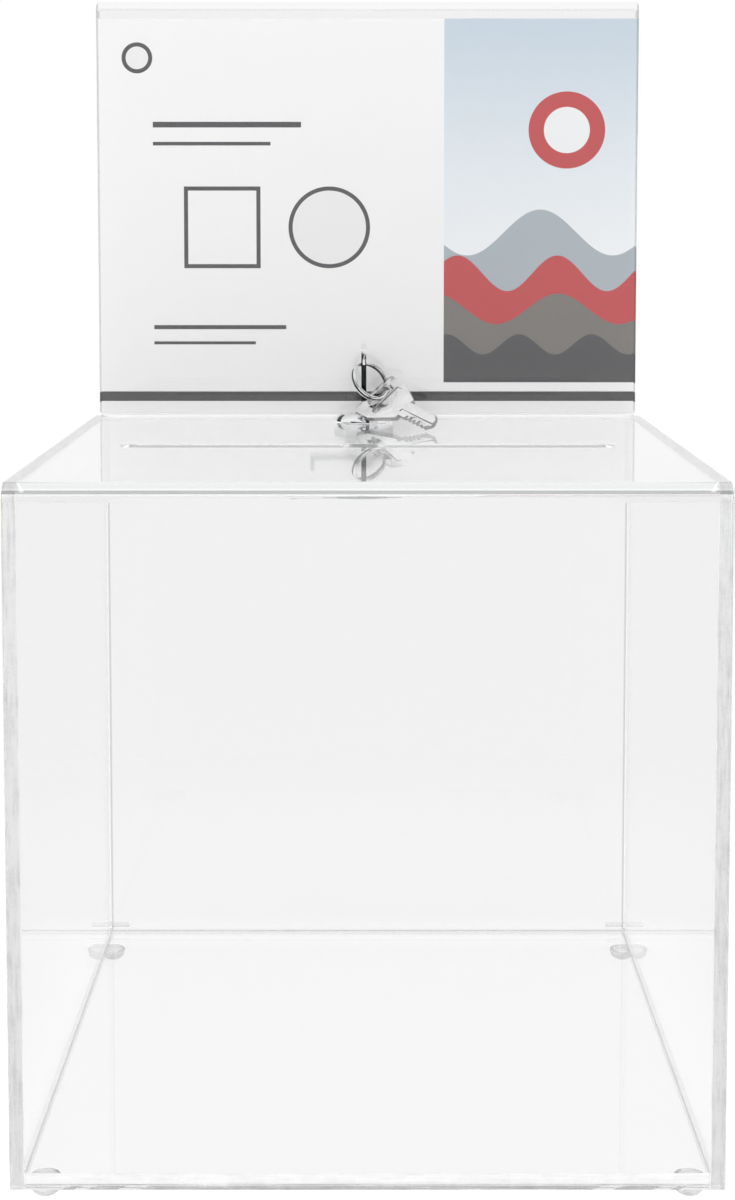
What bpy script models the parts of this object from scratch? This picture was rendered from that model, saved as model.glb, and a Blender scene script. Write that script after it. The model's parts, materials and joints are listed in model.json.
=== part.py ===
# Suggestion box of clear acrylic: a bent front and lid, two sides, a floor, and a rear door
# whose sheet rises behind the lid and folds over as a sign holder. A cam lock in the lid holds
# the door, and its two keys hang on a split ring.
# Metres, +Z up. +X is the viewer's right, -Y is the front, and the feet stand on z = 0.

import math

import bmesh
import bpy
from mathutils import Matrix, Vector

# Box
box_width = 0.215
box_depth = 0.215
box_height = 0.2135
sheet_thickness = 0.004
fold_radius = 0.0055
edge_break = 0.0002
bond_gap = 0.0003

# Feet
foot_diameter = 0.0095
foot_height = 0.0038
foot_crown_diameter = 0.0042
front_foot_side_inset = 0.010
front_foot_inset = 0.0066
rear_foot_side_inset = 0.0066
rear_foot_inset = 0.019

# Posting slot
slot_length = 0.170
slot_width = 0.011
slot_front_distance = 0.101

# Rear door with its sign holder
door_thickness = 0.003
door_recess = 0.003
door_running_gap = 0.0003
door_floor_gap = 0.0008
holder_rise = 0.162
holder_side_inset = 0.002
holder_gap = 0.0015
leaf_lid_gap = 0.0013
card_side_inset = 0.0005
card_top_gap = 0.0035
card_thickness = 0.0004

# Hinge pins
pin_diameter = 0.0016
pin_clearance = 0.0001
pin_height_in_door = 0.0025
pin_reach_in_door = 0.006
pin_end_gap = 0.0004

# Cam lock
lock_side_offset = -0.0014
lock_door_distance = 0.0228
flange_diameter = 0.0224
flange_thickness = 0.003
flange_bevel = 0.0011
flange_crown_share = 0.33
barrel_diameter = 0.016
barrel_length = 0.016
barrel_flat_depth = 0.0009
lock_gap = 0.0003
plug_clearance = 0.0001
bore_diameter = 0.0110
plug_edge_break = 0.0003
plug_recess = 0.0004
washer_thickness = 0.0008
washer_diameter = 0.0205
nut_across_flats = 0.0195
nut_thickness = 0.004

# Cam and its screw
cam_thickness = 0.0015
cam_width = 0.012
cam_reach = 0.0205
cam_hook_drop = 0.004
tail_across = 0.0056
screw_shank_diameter = 0.003
screw_head_diameter = 0.0072
screw_head_height = 0.0020
screw_grip = 0.0040
head_rim_share = 0.66
cam_washer_diameter = 0.009
cam_washer_thickness = 0.0008

# Keeper on the door
keeper_width = 0.0135
keeper_left_reach = 0.0035
keeper_wall = 0.0028
keeper_hook_gap = 0.0005
keeper_cam_gap = 0.0007

# Keys
key_thickness = 0.0019
bow_width = 0.020
bow_side_length = 0.0104
bow_length = 0.0228
bow_neck_width = 0.0097
bow_corner = 0.0016
blade_width = 0.0066
blade_tip_length = 0.0026
key_standing_height = 0.029
key_tip_margin = 0.003
ring_hole_length = 0.0100
ring_hole_width = 0.0062
ring_hole_inset = 0.0050
panel_length = 0.0140
panel_width = 0.0032
panel_inset = 0.0108
panel_depth = 0.0003
groove_width = 0.0012
groove_depth = 0.0005
groove_offset = 0.0004
keyway_gap = 0.0003
bitting_depth_shares = (0.10, 0.28, 0.16, 0.34, 0.20)
bitting_start = 0.0012
bitting_top_margin = 0.0014
bitting_flat_share = 0.36
bitting_slope_share = 0.9
tip_corner_share = 0.33

# Wafers in the plug
wafer_thickness = 0.0006
wafer_length = 0.0080
wafer_height = 0.0052
wafer_gap = 0.0003

# Key ring and hanging key
ring_diameter = 0.0150
ring_wire = 0.0012
ring_pitch = 0.0013
ring_points = 30
ring_step_points = 3
ring_end_angle = math.radians(-20.3)
ring_middle_right = 0.00244
ring_middle_front = 0.00519
ring_middle_height = 0.01591
ring_heading = math.radians(-91.93)
ring_dip = math.radians(51.28)
ring_roll = math.radians(-34.19)
spare_hole_right = 0.00602
spare_hole_front = 0.00952
spare_hole_height = 0.00985
spare_heading = math.radians(-57.08)
spare_dip = math.radians(11.09)
spare_roll = math.radians(-138.76)

# Mesh fineness
round_steps = 40
small_steps = 24
fold_steps = 10
weld_distance = 0.00001

# Derived places
base_z = foot_height + bond_gap
lid_top = base_z + box_height
lid_under = lid_top - sheet_thickness
front_y = -box_depth / 2
rear_y = box_depth / 2
side_x = box_width / 2
inner_x = side_x - sheet_thickness
inner_front_y = front_y + sheet_thickness
floor_top = base_z + sheet_thickness
door_rear = rear_y - door_recess
door_front = door_rear - door_thickness
door_half_width = inner_x - door_running_gap
door_bottom = floor_top + door_floor_gap
lid_rear = door_front - door_running_gap
pin_y = door_front + door_thickness / 2
pin_z = door_bottom + pin_height_in_door
holder_top = lid_top + holder_rise
holder_width = box_width - 2 * holder_side_inset
card_width = holder_width - 2 * card_side_inset
card_top = holder_top - door_thickness - card_top_gap
leaf_back = door_front - holder_gap
leaf_front = leaf_back - door_thickness
fold_outer = (door_rear - leaf_front) / 2
shoulder_z = lid_under
slot_y = front_y + slot_front_distance
lock_x = lock_side_offset
lock_y = door_front - lock_door_distance
flange_top = lid_top + flange_thickness
barrel_end = lid_top - barrel_length
plug_diameter = bore_diameter - 2 * plug_clearance
plug_top = flange_top - plug_recess
cam_top = barrel_end - lock_gap
cam_under = cam_top - cam_thickness
tail_end = cam_under + lock_gap
cam_washer_top = cam_under - lock_gap
screw_head_top = cam_washer_top - cam_washer_thickness - lock_gap
key_top = lid_top + key_standing_height
key_tip = barrel_end + key_tip_margin
key_length = key_top - key_tip
cut_count = len(bitting_depth_shares)
first_cut = key_tip + blade_tip_length + bitting_start
bitting_pitch = (plug_top - bitting_top_margin - first_cut) / (cut_count - 1)
cut_heights = [first_cut + bitting_pitch * index for index in range(cut_count)]
ring_hole_z = key_top - ring_hole_inset
overrun = sheet_thickness


def clear_scene():
    for item in list(bpy.data.objects):
        bpy.data.objects.remove(item, do_unlink=True)


def make_material(name, colour, roughness, metallic, alpha=1.0):
    material = bpy.data.materials.new(name)
    material.use_nodes = True
    shader = material.node_tree.nodes["Principled BSDF"]
    shader.inputs["Base Color"].default_value = (*colour, 1.0)
    shader.inputs["Roughness"].default_value = roughness
    shader.inputs["Metallic"].default_value = metallic
    shader.inputs["Alpha"].default_value = alpha
    return material


clear_scene()
parts = bpy.data.collections.new("suggestion_box")
cutters = bpy.data.collections.new("cutters")
bpy.context.scene.collection.children.link(parts)
bpy.context.scene.collection.children.link(cutters)

clear_acrylic = make_material("clear_acrylic", (0.93, 0.95, 0.95), 0.05, 0.0, 0.3)
clear_rubber = make_material("clear_polyurethane", (0.90, 0.91, 0.91), 0.2, 0.0, 0.5)
chrome = make_material("chrome_plated_zinc", (0.80, 0.80, 0.81), 0.08, 1.0)
plated_steel = make_material("plated_steel", (0.62, 0.62, 0.63), 0.25, 1.0)
nickel_brass = make_material("nickel_plated_brass", (0.70, 0.69, 0.67), 0.18, 1.0)
bare_brass = make_material("bare_brass", (0.72, 0.56, 0.27), 0.3, 1.0)
card_paper = make_material("printed_card", (0.84, 0.85, 0.86), 0.6, 0.0)


def add_part(name, mesh, material):
    part = bpy.data.objects.new(name, mesh)
    parts.objects.link(part)
    mesh.materials.clear()
    mesh.materials.append(material)
    return part


def add_cutter(name, mesh):
    cutter = bpy.data.objects.new(name, mesh)
    cutters.objects.link(cutter)
    cutter.hide_render = True
    cutter.display_type = "WIRE"
    return cutter


def apply_boolean(part, cutter, operation="DIFFERENCE"):
    modifier = part.modifiers.new(operation.lower() + "_" + cutter.name, "BOOLEAN")
    modifier.operation = operation
    modifier.solver = "EXACT"
    modifier.object = cutter


def mesh_from(bm, name):
    mesh = bpy.data.meshes.new(name)
    bm.to_mesh(mesh)
    bm.free()
    return mesh


def block_mesh(name, low, high):
    bm = bmesh.new()
    bmesh.ops.create_cube(bm, size=1.0)
    low = Vector(low)
    high = Vector(high)
    size = high - low
    bmesh.ops.scale(bm, vec=size, verts=bm.verts)
    bmesh.ops.translate(bm, vec=(low + high) / 2, verts=bm.verts)
    return mesh_from(bm, name)


def cylinder_mesh(name, radius, low_z, high_z, x, y, steps=small_steps, turn=None):
    bm = bmesh.new()
    bmesh.ops.create_cone(bm, cap_ends=True, segments=steps, radius1=radius, radius2=radius,
                          depth=high_z - low_z)
    bmesh.ops.translate(bm, vec=(0, 0, (low_z + high_z) / 2), verts=bm.verts)
    if turn is not None:
        bmesh.ops.transform(bm, matrix=turn, verts=bm.verts)
    bmesh.ops.translate(bm, vec=(x, y, 0), verts=bm.verts)
    return mesh_from(bm, name)


def outline_mesh(name, outlines, thickness):
    """A flat plate in its own XY plane: the first outline is its edge, the others are holes."""
    curve = bpy.data.curves.new(name + "_outline", "CURVE")
    curve.dimensions = "2D"
    curve.fill_mode = "BOTH"
    curve.extrude = thickness / 2
    for outline in outlines:
        spline = curve.splines.new("POLY")
        spline.points.add(len(outline) - 1)
        for point, place in zip(spline.points, outline):
            point.co = (place[0], place[1], 0, 1)
        spline.use_cyclic_u = True
    holder = bpy.data.objects.new(name + "_outline", curve)
    cutters.objects.link(holder)
    graph = bpy.context.evaluated_depsgraph_get()
    mesh = bpy.data.meshes.new_from_object(holder.evaluated_get(graph))
    bpy.data.objects.remove(holder, do_unlink=True)
    bm = bmesh.new()
    bm.from_mesh(mesh)
    bpy.data.meshes.remove(mesh)
    bmesh.ops.remove_doubles(bm, verts=bm.verts, dist=weld_distance)
    bmesh.ops.recalc_face_normals(bm, faces=bm.faces)
    return mesh_from(bm, name)


def circle_points(radius, x, y, steps=small_steps):
    turns = [2 * math.pi * step / steps for step in range(steps)]
    return [(x + radius * math.cos(turn), y + radius * math.sin(turn)) for turn in turns]


def arc_points(radius, x, y, start, end, steps):
    turns = [start + (end - start) * step / steps for step in range(steps + 1)]
    return [(x + radius * math.cos(turn), y + radius * math.sin(turn)) for turn in turns]


def slot_points(length, width, y):
    """A long hole with round ends, along X."""
    radius = width / 2
    straight = length / 2 - radius
    right = arc_points(radius, straight, y, -math.pi / 2, math.pi / 2, fold_steps)
    return right + arc_points(radius, -straight, y, math.pi / 2, 3 * math.pi / 2, fold_steps)


def bevel_edges(part, width):
    bevel = part.modifiers.new("edge_break", "BEVEL")
    bevel.width = width
    bevel.segments = 1
    bevel.limit_method = "ANGLE"
    bevel.angle_limit = math.radians(60)


def turned_mesh(name, profile, closed):
    """A profile in the XZ plane, running down its outer side, for a Screw modifier."""
    bm = bmesh.new()
    verts = [bm.verts.new((radius, 0, height)) for radius, height in profile]
    for first, second in zip(verts, verts[1:]):
        bm.edges.new((first, second))
    if closed:
        bm.edges.new((verts[-1], verts[0]))
    return mesh_from(bm, name)


def turn_profile(part, steps=round_steps):
    screw = part.modifiers.new("turn", "SCREW")
    screw.axis = "Z"
    screw.angle = 2 * math.pi
    screw.steps = steps
    screw.render_steps = steps
    screw.use_merge_vertices = True
    screw.merge_threshold = weld_distance
    screw.use_smooth_shade = True


def shade_round(part):
    part.data.shade_smooth()
    part.data.set_sharp_from_angle(angle=math.radians(35))


# A plate's XY plane to the box's YZ plane, with the plate's thickness along X
plate_to_yz = Matrix(((0, 0, 1, 0), (1, 0, 0, 0), (0, 1, 0, 0), (0, 0, 0, 1)))


def folded_sheet(name, profile, width, thickness, inside, material):
    """A sheet bent along lines that run along X: its outer face in YZ, thickened towards inside."""
    bm = bmesh.new()
    verts = [bm.verts.new((-width / 2, y, z)) for y, z in profile]
    edges = [bm.edges.new(pair) for pair in zip(verts, verts[1:])]
    swept = bmesh.ops.extrude_edge_only(bm, edges=edges)
    moved = [item for item in swept["geom"] if isinstance(item, bmesh.types.BMVert)]
    bmesh.ops.translate(bm, vec=(width, 0, 0), verts=moved)
    bmesh.ops.recalc_face_normals(bm, faces=bm.faces)
    sheet = add_part(name, mesh_from(bm, name), material)
    outwards = sum(face.normal.dot(face.center - Vector(inside)) for face in sheet.data.polygons)
    solidify = sheet.modifiers.new("thickness", "SOLIDIFY")
    solidify.thickness = thickness
    solidify.use_even_offset = True
    solidify.offset = -1.0 if outwards > 0 else 1.0
    return sheet


# Front and lid, bent from one sheet, with the posting slot and the lock's hole
def make_front_and_lid():
    bend = arc_points(fold_radius, front_y + fold_radius, lid_top - fold_radius,
                      math.pi, math.pi / 2, fold_steps)
    profile = [(front_y, base_z), *bend, (lid_rear, lid_top)]
    sheet = folded_sheet("front_and_lid_sheet", profile, box_width, sheet_thickness,
                         (0, 0, base_z), clear_acrylic)
    outline = slot_points(slot_length, slot_width, slot_y)
    slot = outline_mesh("posting_slot", [outline], sheet_thickness + 2 * overrun)
    slot.transform(Matrix.Translation((0, 0, (lid_top + lid_under) / 2)))
    apply_boolean(sheet, add_cutter("posting_slot", slot))
    hole = cylinder_mesh("lock_hole", barrel_diameter / 2 + lock_gap, lid_under - overrun,
                         lid_top + overrun, lock_x, lock_y, round_steps)
    apply_boolean(sheet, add_cutter("lock_hole", hole))
    return sheet


# Side panels, with a hole for each hinge pin, and the floor
def make_side_panel(name, side):
    corner = fold_radius - sheet_thickness - bond_gap
    outline = [(inner_front_y + bond_gap, base_z), (rear_y, base_z),
               (rear_y, lid_under - bond_gap)]
    outline += arc_points(corner, front_y + fold_radius, lid_top - fold_radius,
                          math.pi / 2, math.pi, fold_steps)
    mesh = outline_mesh(name, [outline], sheet_thickness)
    mesh.transform(plate_to_yz)
    mesh.transform(Matrix.Translation((side * (side_x - sheet_thickness / 2), 0, 0)))
    panel = add_part(name, mesh, clear_acrylic)
    turn = Matrix.Rotation(math.pi / 2, 4, "Y")
    hole = cylinder_mesh(name + "_pin_hole", pin_diameter / 2 + pin_clearance,
                         -side_x - overrun, side_x + overrun, 0, pin_y, small_steps, turn)
    hole.transform(Matrix.Translation((0, 0, pin_z)))
    apply_boolean(panel, add_cutter(name + "_pin_hole", hole))
    return panel


def make_floor():
    low = (-inner_x + bond_gap, inner_front_y + bond_gap, base_z)
    high = (inner_x - bond_gap, rear_y, floor_top)
    floor = add_part("floor_panel", block_mesh("floor_panel", low, high), clear_acrylic)
    bevel_edges(floor, edge_break)


# Clear bumpers under the corners
def make_feet():
    crown = foot_crown_diameter / 2
    radius = foot_diameter / 2
    dome = [(radius * math.cos(turn), foot_height - foot_height * math.sin(turn))
            for turn in [math.pi / 2 * step / fold_steps for step in range(fold_steps + 1)]]
    dome = [place for place in dome if place[0] > crown]
    profile = [(0, foot_height), *dome, (crown, 0), (0, 0)]
    rows = (("front", front_y + front_foot_inset, front_foot_side_inset),
            ("rear", rear_y - rear_foot_inset, rear_foot_side_inset))
    for row, place_y, inset in rows:
        for side, place_x in (("left", -side_x + inset), ("right", side_x - inset)):
            name = "foot_" + row + "_" + side
            foot = add_part(name, turned_mesh(name, profile, False), clear_rubber)
            turn_profile(foot, small_steps)
            foot.location = (place_x, place_y, 0)


# Rear door and sign holder, one sheet folded over at the top
def make_door():
    middle_y = (door_rear + leaf_front) / 2
    top = arc_points(fold_outer, middle_y, holder_top - fold_outer, 0, math.pi, 2 * fold_steps)
    profile = [(door_rear, door_bottom), *top, (leaf_front, lid_top + leaf_lid_gap)]
    door = folded_sheet("rear_door", profile, holder_width, door_thickness,
                        (0, middle_y, door_bottom), clear_acrylic)
    for side in (-1, 1):
        edge = sorted((side * door_half_width, side * (holder_width / 2 + overrun)))
        notch = block_mesh("door_shoulder", (edge[0], leaf_front - overrun, door_bottom - overrun),
                           (edge[1], door_rear + overrun, shoulder_z))
        apply_boolean(door, add_cutter("door_shoulder_" + ("left" if side < 0 else "right"), notch))
        turn = Matrix.Rotation(math.pi / 2, 4, "Y")
        reach = sorted((side * (door_half_width - pin_reach_in_door - pin_end_gap),
                        side * (door_half_width + overrun)))
        hole = cylinder_mesh("door_pin_hole", pin_diameter / 2 + pin_clearance, reach[0], reach[1],
                             0, pin_y, small_steps, turn)
        hole.transform(Matrix.Translation((0, 0, pin_z)))
        apply_boolean(door, add_cutter("door_pin_hole_" + ("left" if side < 0 else "right"), hole))
    return door


def make_hinge_pins():
    for name, side in (("hinge_pin_left", -1), ("hinge_pin_right", 1)):
        reach = sorted((side * (door_half_width - pin_reach_in_door), side * (side_x - edge_break)))
        turn = Matrix.Rotation(math.pi / 2, 4, "Y")
        mesh = cylinder_mesh(name, pin_diameter / 2, reach[0], reach[1], 0, pin_y, small_steps, turn)
        mesh.transform(Matrix.Translation((0, 0, pin_z)))
        shade_round(add_part(name, mesh, clear_acrylic))


def make_card():
    middle_y = (leaf_back + door_front) / 2
    low = (-card_width / 2, middle_y - card_thickness / 2, lid_top + bond_gap)
    high = (card_width / 2, middle_y + card_thickness / 2, card_top)
    add_part("poster_card", block_mesh("poster_card", low, high), card_paper)


# Keeper: an L of clear acrylic on the door, whose lip stands in front of the cam's hook
def make_keeper():
    hook_front = lock_y + cam_reach - cam_thickness
    hook_end = cam_top - cam_hook_drop - cam_thickness
    lip_back = hook_front - keeper_hook_gap
    lip_front = lip_back - keeper_wall
    base_top = hook_end - lock_gap
    base_under = base_top - keeper_wall
    lip_top = cam_under - keeper_cam_gap
    outline = [(lip_front, base_under), (door_front - bond_gap, base_under),
               (door_front - bond_gap, base_top), (lip_back, base_top),
               (lip_back, lip_top), (lip_front, lip_top)]
    mesh = outline_mesh("cam_keeper", [outline], keeper_width)
    mesh.transform(plate_to_yz)
    mesh.transform(Matrix.Translation((lock_x - keeper_left_reach + keeper_width / 2, 0, 0)))
    add_part("cam_keeper", mesh, clear_acrylic)


# Lock: flanged housing, washer and nut under the lid
def make_housing():
    flange = flange_diameter / 2
    barrel = barrel_diameter / 2
    bore = bore_diameter / 2
    seat = lid_top + lock_gap
    profile = [(bore, flange_top), (flange - 2 * flange_bevel, flange_top),
               (flange - flange_bevel * flange_crown_share, flange_top - flange_bevel),
               (flange, flange_top - 2 * flange_bevel), (flange, seat), (barrel, seat),
               (barrel, barrel_end), (bore, barrel_end)]
    housing = add_part("lock_housing", turned_mesh("lock_housing", profile, True), chrome)
    turn_profile(housing)
    housing.location = (lock_x, lock_y, 0)
    for side in (-1, 1):
        edge = sorted((side * (barrel - barrel_flat_depth), side * (flange + overrun)))
        flat = block_mesh("barrel_flat", (lock_x + edge[0], lock_y - flange - overrun,
                                          barrel_end - overrun),
                          (lock_x + edge[1], lock_y + flange + overrun, lid_under - lock_gap))
        apply_boolean(housing, add_cutter("barrel_flat_" + ("left" if side < 0 else "right"), flat))


def make_nut_and_washer():
    hole = circle_points(barrel_diameter / 2 + lock_gap, 0, 0, round_steps)
    washer_top = lid_under - lock_gap
    washer = outline_mesh("lock_washer", [circle_points(washer_diameter / 2, 0, 0, round_steps),
                                          hole], washer_thickness)
    washer.transform(Matrix.Translation((lock_x, lock_y, washer_top - washer_thickness / 2)))
    shade_round(add_part("lock_washer", washer, plated_steel))
    nut_top = washer_top - washer_thickness - lock_gap
    corner = nut_across_flats / 2 / math.cos(math.pi / 6)
    nut = outline_mesh("lock_nut", [circle_points(corner, 0, 0, 6), hole], nut_thickness)
    nut.transform(Matrix.Translation((lock_x, lock_y, nut_top - nut_thickness / 2)))
    shade_round(add_part("lock_nut", nut, plated_steel))


# Plug: keyway, wafer slots, square tail and the screw's hole
def make_plug():
    radius = plug_diameter / 2
    profile = [(0, plug_top), (radius - plug_edge_break, plug_top),
               (radius, plug_top - plug_edge_break), (radius, barrel_end), (0, barrel_end)]
    plug = add_part("lock_plug", turned_mesh("lock_plug", profile, False), nickel_brass)
    turn_profile(plug)
    plug.location = (lock_x, lock_y, 0)
    half = tail_across / 2
    tail = block_mesh("plug_tail", (lock_x - half, lock_y - half, tail_end),
                      (lock_x + half, lock_y + half, barrel_end + overrun / 2))
    apply_boolean(plug, add_cutter("plug_tail", tail), "UNION")
    keyway_x = key_thickness / 2 + keyway_gap
    keyway_y = blade_width / 2 + keyway_gap
    keyway = block_mesh("keyway", (lock_x - keyway_x, lock_y - keyway_y, key_tip - keyway_gap),
                        (lock_x + keyway_x, lock_y + keyway_y, plug_top + overrun))
    apply_boolean(plug, add_cutter("keyway", keyway))
    slot_x = wafer_height / 2 + wafer_gap
    slot_y_half = wafer_length / 2 + wafer_gap
    for index, height in enumerate(cut_heights):
        reach = wafer_thickness / 2 + wafer_gap
        slot = block_mesh("wafer_slot", (lock_x - slot_x, lock_y - slot_y_half, height - reach),
                          (lock_x + slot_x, lock_y + slot_y_half, height + reach))
        apply_boolean(plug, add_cutter("wafer_slot_" + str(index + 1), slot))
    hole = cylinder_mesh("screw_hole", screw_shank_diameter / 2 + lock_gap, tail_end - overrun,
                         screw_head_top + screw_grip + lock_gap, lock_x, lock_y)
    apply_boolean(plug, add_cutter("screw_hole", hole))


def make_wafers():
    window_x = key_thickness / 2 + wafer_gap
    window_y = blade_width / 2 + wafer_gap
    rim = rectangle(wafer_height / 2, wafer_length / 2)
    for index, height in enumerate(cut_heights):
        name = "wafer_tumbler_" + str(index + 1)
        wafer = outline_mesh(name, [rim, rectangle(window_x, window_y)], wafer_thickness)
        wafer.transform(Matrix.Translation((lock_x, lock_y, height)))
        add_part(name, wafer, bare_brass)


def rectangle(half_x, half_y):
    return [(-half_x, -half_y), (half_x, -half_y), (half_x, half_y), (-half_x, half_y)]


# Cam: a flat arm on the square tail with its end bent down, pointing left when unlocked
def make_cam():
    half = cam_width / 2
    hook = cam_hook_drop + cam_thickness
    outline = arc_points(half, 0, 0, -math.pi / 2, math.pi / 2, fold_steps)
    outline += [(-cam_reach, half), (-cam_reach, -half)]
    square = rectangle(tail_across / 2 + lock_gap, tail_across / 2 + lock_gap)
    mesh = outline_mesh("lock_cam", [outline, square], hook)
    mesh.transform(Matrix.Translation((lock_x, lock_y, cam_top - hook / 2)))
    cam = add_part("lock_cam", mesh, plated_steel)
    under = block_mesh("cam_underside", (lock_x - cam_reach + cam_thickness, lock_y - cam_width,
                                         cam_top - hook - overrun),
                       (lock_x + cam_width, lock_y + cam_width, cam_under))
    apply_boolean(cam, add_cutter("cam_underside", under))


def make_cam_screw():
    ring = [circle_points(cam_washer_diameter / 2, 0, 0),
            circle_points(screw_shank_diameter / 2 + lock_gap, 0, 0)]
    washer = outline_mesh("cam_washer", ring, cam_washer_thickness)
    washer.transform(Matrix.Translation((lock_x, lock_y,
                                         cam_washer_top - cam_washer_thickness / 2)))
    shade_round(add_part("cam_washer", washer, plated_steel))
    shank = screw_shank_diameter / 2
    head = screw_head_diameter / 2
    under = screw_head_top - screw_head_height
    profile = [(0, screw_head_top + screw_grip), (shank, screw_head_top + screw_grip),
               (shank, screw_head_top), (head, screw_head_top),
               (head, under + screw_head_height / 2), (head * head_rim_share, under), (0, under)]
    screw = add_part("cam_screw", turned_mesh("cam_screw", profile, False), plated_steel)
    turn_profile(screw, small_steps)
    screw.location = (lock_x, lock_y, 0)


# Keys: one outline for both, with the bow's outer end at 0 and the tip at key_length along Y
def key_outline():
    half_bow = bow_width / 2
    half_neck = bow_neck_width / 2
    half_blade = blade_width / 2
    right = [(half_bow - bow_corner, 0), (half_bow, bow_corner), (half_bow, bow_side_length),
             (half_neck, bow_length), (half_blade, bow_length),
             (half_blade, key_length - blade_tip_length),
             (half_blade * tip_corner_share, key_length)]
    left = [(-half_blade * tip_corner_share, key_length),
            (-half_blade, key_length - blade_tip_length)]
    flat = bitting_pitch * bitting_flat_share / 2
    foot = flat + (bitting_pitch / 2 - flat) * bitting_slope_share
    for height, share in zip(cut_heights, bitting_depth_shares):
        middle = key_top - height
        depth = blade_width * share
        left += [(-half_blade, middle + foot), (-half_blade + depth, middle + flat),
                 (-half_blade + depth, middle - flat), (-half_blade, middle - foot)]
    left += [(-half_blade, bow_length), (-half_neck, bow_length), (-half_bow, bow_side_length),
             (-half_bow, bow_corner), (-half_bow + bow_corner, 0)]
    return right + left


def make_key(name, place):
    hole = slot_points(ring_hole_length, ring_hole_width, ring_hole_inset)
    mesh = outline_mesh(name, [key_outline(), hole], key_thickness)
    key = add_part(name, mesh, nickel_brass)
    key.matrix_world = place
    for side in (-1, 1):
        level = sorted((side * (key_thickness / 2 - panel_depth), side * (key_thickness / 2 + overrun)))
        panel = block_mesh(name + "_panel", (-panel_length / 2, panel_inset - panel_width / 2,
                                             level[0]),
                           (panel_length / 2, panel_inset + panel_width / 2, level[1]))
        cutter = add_cutter(name + "_panel_" + ("back" if side < 0 else "front"), panel)
        cutter.matrix_world = place
        apply_boolean(key, cutter)
    for side in (-1, 1):
        level = sorted((side * (key_thickness / 2 - groove_depth), side * (key_thickness / 2 + overrun)))
        reach = sorted((side * groove_offset, side * (groove_offset + groove_width)))
        groove = block_mesh(name + "_groove", (reach[0], bow_length - groove_width, level[0]),
                            (reach[1], key_length + overrun, level[1]))
        cutter = add_cutter(name + "_groove_" + ("back" if side < 0 else "front"), groove)
        cutter.matrix_world = place
        apply_boolean(key, cutter)
    return key


# Split ring: a double turn of wire through both bows
def frame_from(heading, dip, roll):
    """Y runs along the heading, dipped down; X lies across it, raised by the roll."""
    turn = Matrix.Rotation(heading - math.pi / 2, 4, "Z")
    return turn @ Matrix.Rotation(-dip, 4, "X") @ Matrix.Rotation(roll, 4, "Y")


def ring_frame():
    middle = Vector((lock_x + ring_middle_right, lock_y - ring_middle_front,
                     lid_top + ring_middle_height))
    return Matrix.Translation(middle) @ frame_from(ring_heading, ring_dip, ring_roll)


def make_ring():
    curve = bpy.data.curves.new("key_ring", "CURVE")
    curve.dimensions = "3D"
    curve.bevel_depth = ring_wire / 2
    curve.bevel_resolution = 2
    curve.use_fill_caps = True
    first_step = ring_points - ring_step_points
    last = 2 * ring_points - ring_step_points
    spline = curve.splines.new("POLY")
    spline.points.add(last)
    radius = ring_diameter / 2
    for index, point in enumerate(spline.points):
        turn = 2 * math.pi * index / ring_points + ring_end_angle
        climb = min(max((index - first_step) / ring_step_points, 0), 1)
        point.co = (radius * math.cos(turn), radius * math.sin(turn), ring_pitch * (climb - 1 / 2), 1)
    holder = bpy.data.objects.new("key_ring_wire", curve)
    cutters.objects.link(holder)
    graph = bpy.context.evaluated_depsgraph_get()
    mesh = bpy.data.meshes.new_from_object(holder.evaluated_get(graph))
    bpy.data.objects.remove(holder, do_unlink=True)
    bm = bmesh.new()
    bm.from_mesh(mesh)
    bpy.data.meshes.remove(mesh)
    bmesh.ops.remove_doubles(bm, verts=bm.verts, dist=weld_distance)
    bmesh.ops.recalc_face_normals(bm, faces=bm.faces)
    ring = add_part("key_ring", mesh_from(bm, "key_ring"), plated_steel)
    ring.matrix_world = ring_frame()
    shade_round(ring)


def make_keys():
    standing = Matrix.Rotation(-math.pi / 2, 4, "X")
    edge_on = Matrix.Rotation(math.pi / 2, 4, "Z")
    make_key("key_in_lock", Matrix.Translation((lock_x, lock_y, key_top)) @ edge_on @ standing)
    hole = Vector((lock_x + spare_hole_right, lock_y - spare_hole_front,
                   lid_top + spare_hole_height))
    turn = frame_from(spare_heading, spare_dip, spare_roll)
    to_hole = Matrix.Translation((0, -ring_hole_inset, 0))
    make_key("spare_key", Matrix.Translation(hole) @ turn @ to_hole)


make_front_and_lid()
make_side_panel("left_side_panel", -1)
make_side_panel("right_side_panel", 1)
make_floor()
make_feet()
make_door()
make_hinge_pins()
make_card()
make_keeper()
make_housing()
make_nut_and_washer()
make_plug()
make_wafers()
make_cam()
make_cam_screw()
make_ring()
make_keys()
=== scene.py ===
# Clear acrylic suggestion box with a folded sign holder, a cam lock and two keys on a ring
import json
import math

import bmesh
import bpy
from mathutils import Matrix, Vector

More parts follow.
